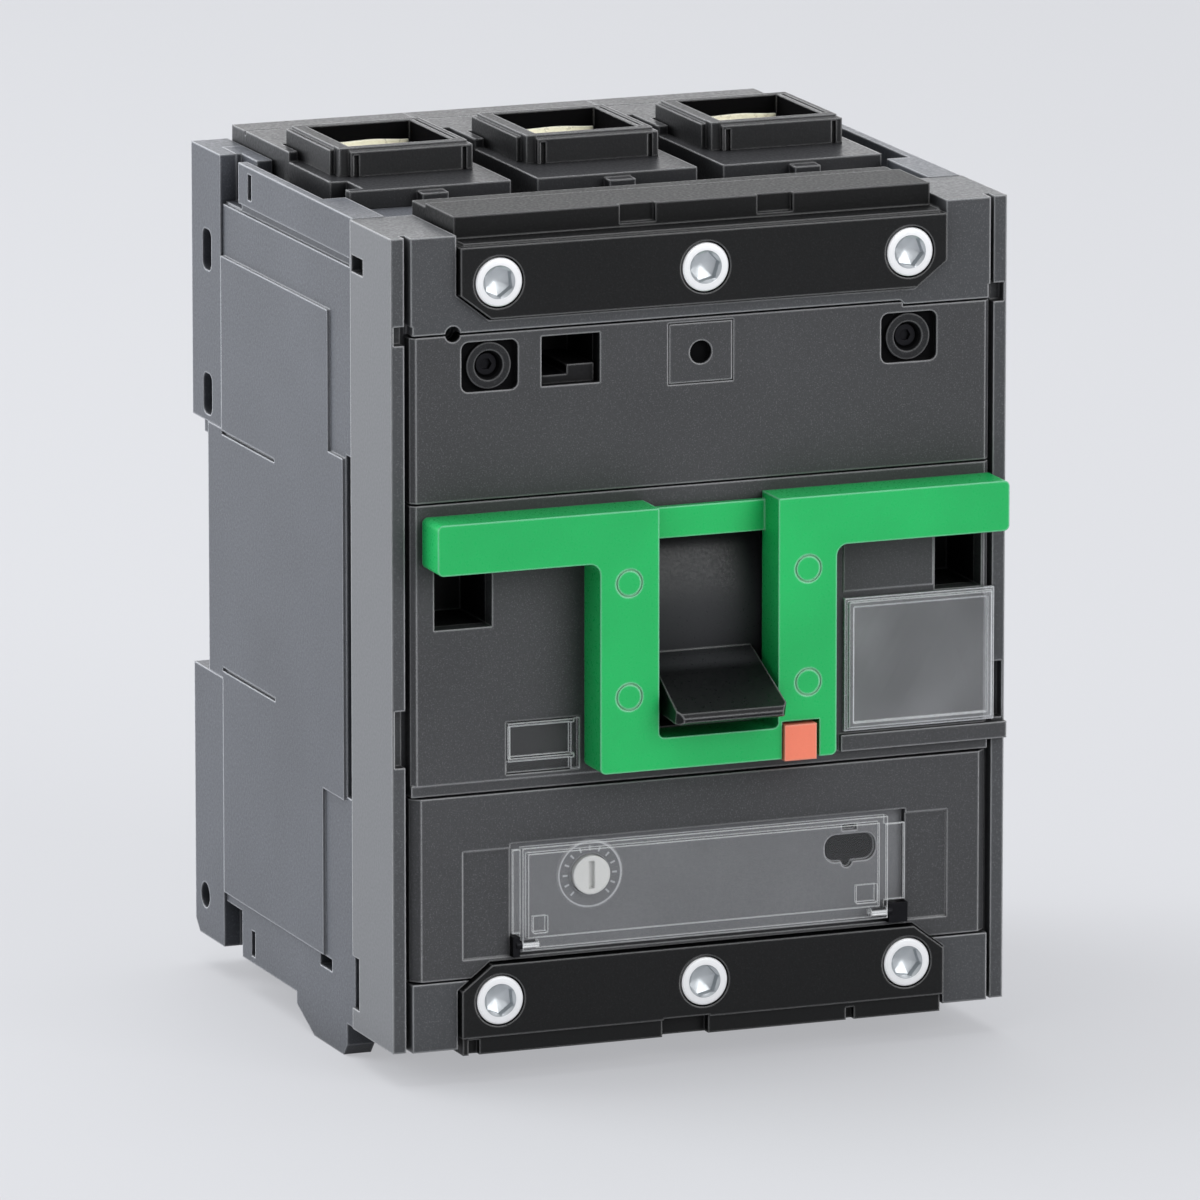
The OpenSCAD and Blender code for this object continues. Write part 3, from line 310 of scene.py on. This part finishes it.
def cover_seats(t, col):
    """Painted shade: the floors of the screw seats and the holes are painted darker than the front face, down to
    near black, where shade falls, and reflect no light there.
    """
    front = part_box("test_cap")[0].y
    x, y, z = t.axes(t.coords())
    depth = t.span(y, front + 0.2 * MM, front + 0.38 * MM, 0, 0.6)
    low = t.span(y, front + 0.42 * MM, front + 0.7 * MM, 0, 0.85)
    deep = t.span(y, front + 1.0 * MM, front + 1.15 * MM, 0, 0.97)
    here = t.math("MULTIPLY", t.span(z, 30 * MM, 31 * MM, 0, 1),
                  t.span(t.math("ABSOLUTE", x), 39 * MM, 40 * MM, 1, 0))
    dark = t.math("MAXIMUM", t.math("MAXIMUM", depth, low), deep)
    t.quiet = t.math("MULTIPLY", dark, here)
    return t.mix(t.quiet, col, (0.004, 0.004, 0.0045))


def side_faces(t, col):
    """Painted light: the walls of the side strips are painted lighter than the front, as if lit more strongly."""
    geo = t.add("ShaderNodeNewGeometry")
    x = t.axes(geo.outputs["True Normal"])[0]
    return t.mix(t.span(t.math("ABSOLUTE", x), 0.6, 0.9, 0, 1), col, (0.145, 0.1495, 0.158))


def frame_rings(t, col):
    """The moulded rings on the legs of the handle frame catch the light."""
    x, _, z = t.axes(t.coords())
    ring_x, ring_z, middle = 13.1 * MM, 7.9 * MM, 0.1 * MM
    across = t.math("SUBTRACT", t.math("ABSOLUTE", x), ring_x)
    up = t.math("SUBTRACT", t.math("ABSOLUTE", t.math("SUBTRACT", z, middle)), ring_z)
    ring = t.band(t.radius(across, up), 1.68 * MM, 1.97 * MM, 0.04 * MM)
    return t.mix(t.math("MULTIPLY", ring, 0.9), col, (0.32, 0.85, 0.45))


def panel_face(t, col):
    """The settings panel: marks round the dial, and painted shade that turns the key hole black."""
    col = dial_scale(t, col)
    y = t.axes(t.coords())[1]
    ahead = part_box("settings_panel")[0].y + 0.15 * MM
    t.quiet = t.span(y, ahead + 0.2 * MM, ahead + 0.4 * MM, 0, 0.97)
    return t.mix(t.quiet, col, (0.003, 0.003, 0.003))


def level_faces(t, share):
    """Faces that look up or down, by the given share."""
    geo = t.add("ShaderNodeNewGeometry")
    return t.span(t.math("ABSOLUTE", t.axes(geo.outputs["True Normal"])[2]), 0.7, 0.9, 0, share)


def painted_top_shade(t, col):
    """Painted shade: the faces of the terminal cover and the decks that look up or down are painted darker than
    their fronts, and reflect less light.
    """
    t.quiet = level_faces(t, 0.4)
    return t.mix(t.quiet, col, (0.005, 0.005, 0.0055))


def entry_inside(t, col):
    """Painted shade: the inner walls of the cable entries are painted black, and their faces that look up or down
    painted darker, where shade falls.
    """
    low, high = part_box("line_entry_2")
    rim = 1.66 * MM
    x, y, _ = t.axes(t.coords())
    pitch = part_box("line_entry_3")[0].x - low.x
    across = t.math("ABSOLUTE", t.math("WRAP", x, pitch / 2, -pitch / 2))
    half = 7.68 * MM
    inside = t.math("MULTIPLY", t.span(across, half, half + 0.1 * MM, 1, 0),
                    t.band(y, low.y + rim, high.y - rim, 0.1 * MM))
    t.quiet = t.math("MAXIMUM", inside, level_faces(t, 0.5))
    return t.mix(t.quiet, col, (0.005, 0.005, 0.0055))


def shutter_face(t, col):
    """The shutter behind the blade is painted lighter than the blade."""
    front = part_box("upper_cover")[0].y
    y = t.axes(t.coords())[1]
    return t.mix(t.span(y, front - 3 * MM, front - 1.5 * MM, 0, 0.85), col, (0.036, 0.0365, 0.04))


GREY = (0.084, 0.09, 0.1035)
mats = {
    "rear_case": plastic("rear_plastic", GREY, 0.42, speck=0.4, edge=0.85),
    "front_case": plastic("front_plastic", (0.064, 0.0665, 0.071), 0.4, speck=0.4, edge=0.85, paint=side_faces),
    "cover": plastic("cover_plastic", (0.053, 0.054, 0.057), 0.44, speck=0.4, edge=0.75, late=cover_seats),
    "inner_black": plastic("inner_plastic", (0.006, 0.006, 0.007), 0.5, speck=0.05, spec=0.2),
    "terminal_cover": plastic("bar_plastic", (0.0085, 0.0088, 0.0092), 0.44, speck=0.12, edge=0.5, spec=0.16,
                              paint=painted_top_shade),
    "screw_steel": metal("screw_steel", (0.74, 0.75, 0.77), 0.26),
    "dark_steel": metal("dark_steel", (0.016, 0.016, 0.018), 0.4),
    "frame_green": plastic("green_plastic", (0.014, 0.485, 0.12), 0.32, grain=0.3, speck=0.05, edge=0.6, dark=0.6,
                           paint=frame_rings),
    "toggle_black": plastic("toggle_plastic", (0.005, 0.0052, 0.006), 0.34, grain=0.4, speck=0.05, edge=0.55,
                            spec=0.2, paint=shutter_face),
    "button_coral": plastic("coral_plastic", (1.0, 0.24, 0.145), 0.34, grain=0.3, speck=0.05, edge=0.25, dark=0.6),
    "clear": clear("clear_plastic", (0.62, 0.63, 0.65), alpha=0.04, rim=0.8),
    "panel_dark": plastic("panel_plastic", (0.15, 0.153, 0.16), 0.4, speck=0.15, dark=1, paint=panel_face),
    "dial_white": plastic("dial_plastic", (0.72, 0.72, 0.7), 0.4, grain=0.3, speck=0.02, edge=0.2, dark=1),
    "entry_dark": plastic("entry_plastic", (0.04, 0.041, 0.0445), 0.36, speck=0.3, dark=0.12, edge=0.85,
                          paint=painted_top_shade),
    "tinned_brass": metal("tinned_brass", (0.95, 0.9, 0.74), 0.28, worn=0.3, metallic=0.25),
    "copper": metal("copper_strip", (0.74, 0.38, 0.24), 0.35, (1, 1, 8)),
    "shaft_plastic": plastic("shaft_plastic", (0.1, 0.04, 0.024), 0.5),
    "bright_steel": metal("zinc_steel", (0.55, 0.56, 0.58), 0.34),
    "bimetal": metal("bimetal_strip", (0.6, 0.5, 0.33), 0.36, (1, 1, 10)),
    "latch_black": plastic("latch_plastic", (0.014, 0.0145, 0.016), 0.42, speck=0.12),
}
single = {"label_plate": clear("label_plastic", (0.6, 0.61, 0.63), alpha=0.31, rim=0.7)}
collar = plastic("collar_plastic", (0.03, 0.0305, 0.0325), 0.4, speck=0.2, dark=0.12, edge=0.8, spec=0.2,
                 paint=entry_inside)
for end in ("line", "load"):
    for k in (1, 2, 3):
        single[f"{end}_entry_{k}"] = collar
slots = {s["node"]: s["material_slot"] for s in frame["record"]["subparts"]}
for name, obj in nodes.items():
    obj.data.materials.clear()
    obj.data.materials.append(single.get(name) or mats[slots[name]])


# Terminal screws: turned heads with a chamfered ring and a hexagon socket

def around(radius):
    return [radius] * SIDES


def hexagon(apothem):
    """Radii of a hexagon's outline at equal angles."""
    step = math.pi / 3
    return [apothem / math.cos((2 * math.pi * k / SIDES + step / 2) % step - step / 2) for k in range(SIDES)]


def lathe(name, rows):
    """Rows of (radii, y, material) from the outside in, the last one closed by a point."""
    bm = bmesh.new()
    rings = []
    n = SIDES
    turns = [2 * math.pi * k / n for k in range(n)]
    for radii, y, _ in rows[:-1]:
        rings.append([bm.verts.new((r * math.cos(a), y, r * math.sin(a))) for r, a in zip(radii, turns)])
    for a, b, row in zip(rings, rings[1:], rows[1:]):
        for k in range(n):
            face = bm.faces.new((a[k], a[(k + 1) % n], b[(k + 1) % n], b[k]))
            face.material_index = row[2]
            face.smooth = True
    tip = bm.verts.new((0, rows[-1][1], 0))
    for k in range(n):
        face = bm.faces.new((rings[-1][k], rings[-1][(k + 1) % n], tip))
        face.material_index = rows[-1][2]
        face.smooth = True
    bm.faces.new(list(reversed(rings[0])))
    bmesh.ops.recalc_face_normals(bm, faces=bm.faces)
    for e in bm.edges:
        if len(e.link_faces) == 2 and e.calc_face_angle(0) > 0.45:
            e.smooth = False
    mesh = bpy.data.meshes.new(name)
    bm.to_mesh(mesh)
    bm.free()
    return mesh


def screws():
    head = turned("screw_head", (0.95, 0.955, 0.96), 0.36, 0.6)
    bore = turned("screw_socket", (0.6, 0.63, 0.65), 0.42, 0.85)
    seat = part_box("settings_panel")[1].y
    for node in ("upper_terminal_screws", "lower_terminal_screws"):
        low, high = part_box(node)
        front = low.y
        rear = high.y - front
        neck = seat - 1 * MM - front
        r = (high.z - low.z) / 2
        shank = 2.5 * MM
        rows = [
            (around(shank - 0.4 * MM), rear, 0),
            (around(shank), rear - 0.4 * MM, 0),
            (around(shank), neck, 0),
            (around(r), neck, 0),
            (around(r), 0.3 * MM, 0),
            (around(r - 0.06 * MM), 0.12 * MM, 0),
            (around(r - 0.2 * MM), 0.02 * MM, 0),
            (around(r - 0.34 * MM), 0, 0),
            (around(2.32 * MM), 0, 0),
            (around(2.24 * MM), 0.08 * MM, 1),
            (hexagon(1.88 * MM), 0.3 * MM, 1),
            (hexagon(1.86 * MM), 1.5 * MM, 1),
            (hexagon(1.55 * MM), 1.62 * MM, 1),
            (around(0.95 * MM), 1.8 * MM, 1),
            (around(0.4 * MM), 1.98 * MM, 1),
            (None, 2.02 * MM, 1),
        ]
        mesh = lathe(node.replace("screws", "screw"), rows)
        mesh.materials.append(head)
        mesh.materials.append(bore)
        for k in (-1, 0, 1):
            obj = bpy.data.objects.new(f"{node[:5]}_screw_{k + 2}", mesh)
            bpy.context.collection.objects.link(obj)
            obj.location = (k * SCREW_PITCH, front, (low.z + high.z) / 2)
            obj.rotation_euler = (0, math.radians(17 + 23 * k), 0)
            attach(obj, "case")
            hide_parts(node)


screws()


# Terminal clamps: the bright lip at the back of each cable entry

def lips():
    for k in (1, 2, 3):
        for end, way in (("line", 1), ("load", -1)):
            low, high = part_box(f"{end}_entry_{k}")
            mouth = high.z if way > 0 else low.z
            mid = (low.x + high.x) / 2
            rear = high.y - ENTRY_WALL - 0.06 * MM
            front = rear - 0.5 * MM
            half_width = 7.3 * MM
            foot = mouth - way * 3.9 * MM
            bm = bmesh.new()
            rows = []
            n = 24
            for i in range(n + 1):
                u = 2 * i / n - 1
                x = mid + u * half_width
                crown = 0.1 * math.cos(u * 2.6) + 0.06 * math.sin(u * 5.1)
                top = mouth - way * (2.5 - crown) * MM
                corners = (x, rear, foot), (x, rear, top), (x, front, top), (x, front, foot)
                rows.append([bm.verts.new(c) for c in corners])
            for a, b in zip(rows, rows[1:]):
                for j in range(4):
                    bm.faces.new((a[j], a[(j + 1) % 4], b[(j + 1) % 4], b[j]))
            bm.faces.new(rows[0])
            bm.faces.new(rows[-1])
            bmesh.ops.recalc_face_normals(bm, faces=bm.faces)
            mesh = bpy.data.meshes.new(f"{end}_lip_{k}")
            bm.to_mesh(mesh)
            bm.free()
            mesh.materials.append(mats["tinned_brass"])
            obj = bpy.data.objects.new(f"{end}_lip_{k}", mesh)
            bpy.context.collection.objects.link(obj)
            bevel = obj.modifiers.new("soft", "BEVEL")
            bevel.width = 0.1 * MM
            bevel.segments = 2
            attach(obj, "case")


lips()


# Stage: floor, light and camera

def floor():
    size = 9.0
    n = 24
    bm = bmesh.new()
    steps = [size * (i / n - 0.5) for i in range(n + 1)]
    grid = [[bm.verts.new((x, y, 0)) for x in steps] for y in steps]
    for j in range(n):
        for i in range(n):
            bm.faces.new((grid[j][i], grid[j][i + 1], grid[j + 1][i + 1], grid[j + 1][i]))
    mesh = bpy.data.meshes.new("floor")
    bm.to_mesh(mesh)
    bm.free()
    obj = bpy.data.objects.new("floor", mesh)
    bpy.context.collection.objects.link(obj)
    obj.location.z = cad_box[0][2] - 0.00005
    t = Tree("floor_paper")
    v = t.coords()
    col = t.ramp(t.noise(v, 3, 2), [(0.3, (0.46, 0.467, 0.485)), (0.7, (0.47, 0.477, 0.495))])
    t.link(col, t.bsdf.inputs["Base Color"])
    t.put("Roughness", 0.75)
    t.put("Specular IOR Level", 0.1)
    path = t.add("ShaderNodeLightPath")
    seen = t.math("MAXIMUM", path.outputs["Is Camera Ray"],
                  t.math("MAXIMUM", path.outputs["Is Glossy Ray"], path.outputs["Is Transmission Ray"]))
    glow = t.add("ShaderNodeEmission")
    glow.inputs["Color"].default_value = (0.745, 0.752, 0.785, 1)
    both = t.add("ShaderNodeMixShader")
    t.link(t.math("MULTIPLY", seen, 0.55), both.inputs[0])
    t.link(t.bsdf.outputs["BSDF"], both.inputs[1])
    t.link(glow.outputs[0], both.inputs[2])
    t.link(both.outputs[0], t.out.inputs["Surface"])
    obj.data.materials.append(t.mat)


def area(name, place, aim, size, power, colour=(1, 1, 1)):
    data = bpy.data.lights.new(name, "AREA")
    data.shape = "RECTANGLE"
    data.size, data.size_y = size
    data.energy = power
    data.color = colour
    obj = bpy.data.objects.new(name, data)
    bpy.context.collection.objects.link(obj)
    obj.location = place
    obj.rotation_mode = "QUATERNION"
    obj.rotation_quaternion = (Vector(aim) - Vector(place)).to_track_quat("-Z", "Y")
    obj.visible_camera = False


def world(colour, strength):
    w = bpy.data.worlds.new("studio")
    bpy.context.scene.world = w
    w.use_nodes = True
    bg = w.node_tree.nodes["Background"]
    bg.inputs["Color"].default_value = (*colour, 1)
    bg.inputs["Strength"].default_value = strength


def camera():
    """The photo's camera, from a fit to the photo: the aim point lies at aim_x, aim_y in its pixels."""
    azimuth, elevation = math.radians(21.87), math.radians(12.31)
    level = math.cos(elevation)
    back = Vector((-math.sin(azimuth) * level, -math.cos(azimuth) * level, math.sin(elevation)))
    place = Vector((0, -79 * MM, 0)) + back * 1.9
    right = Vector((math.cos(azimuth), -math.sin(azimuth), 0))
    up = right.cross(-back)
    focal = 13933.0
    photo_size = 1200
    middle = photo_size / 2
    aim_x, aim_y = 700.8, 623.5
    look = -back + right * ((middle - aim_x) / focal) + up * ((aim_y - middle) / focal)
    data = bpy.data.cameras.new("photo_camera")
    data.sensor_width = 36.0
    data.lens = data.sensor_width * focal / photo_size
    data.clip_start, data.clip_end = 0.05, 50
    obj = bpy.data.objects.new("photo_camera", data)
    bpy.context.collection.objects.link(obj)
    obj.location = place
    obj.rotation_mode = "QUATERNION"
    obj.rotation_quaternion = look.to_track_quat("-Z", "Y")
    bpy.context.scene.camera = obj


floor()
MIDDLE = (0, -0.03, 0)
area("left_softbox", (-1.0, 0.8, 0.4), MIDDLE, (1.1, 1.1), 19, (0.96, 0.98, 1.0))
area("top_softbox", (-0.1, 0.2, 1.3), MIDDLE, (1.4, 1.1), 18)
area("rear_strip", (0.7, 1.8, 0.5), (0, -0.03, 0.05), (1.6, 0.5), 4.8)
area("front_fill", (0.75, -1.7, 0.75), (0, -0.05, 0), (1.2, 1.2), 17.5)
world((0.95, 0.965, 1.0), 0.5)
camera()
bpy.context.scene.view_settings.view_transform = "Standard"
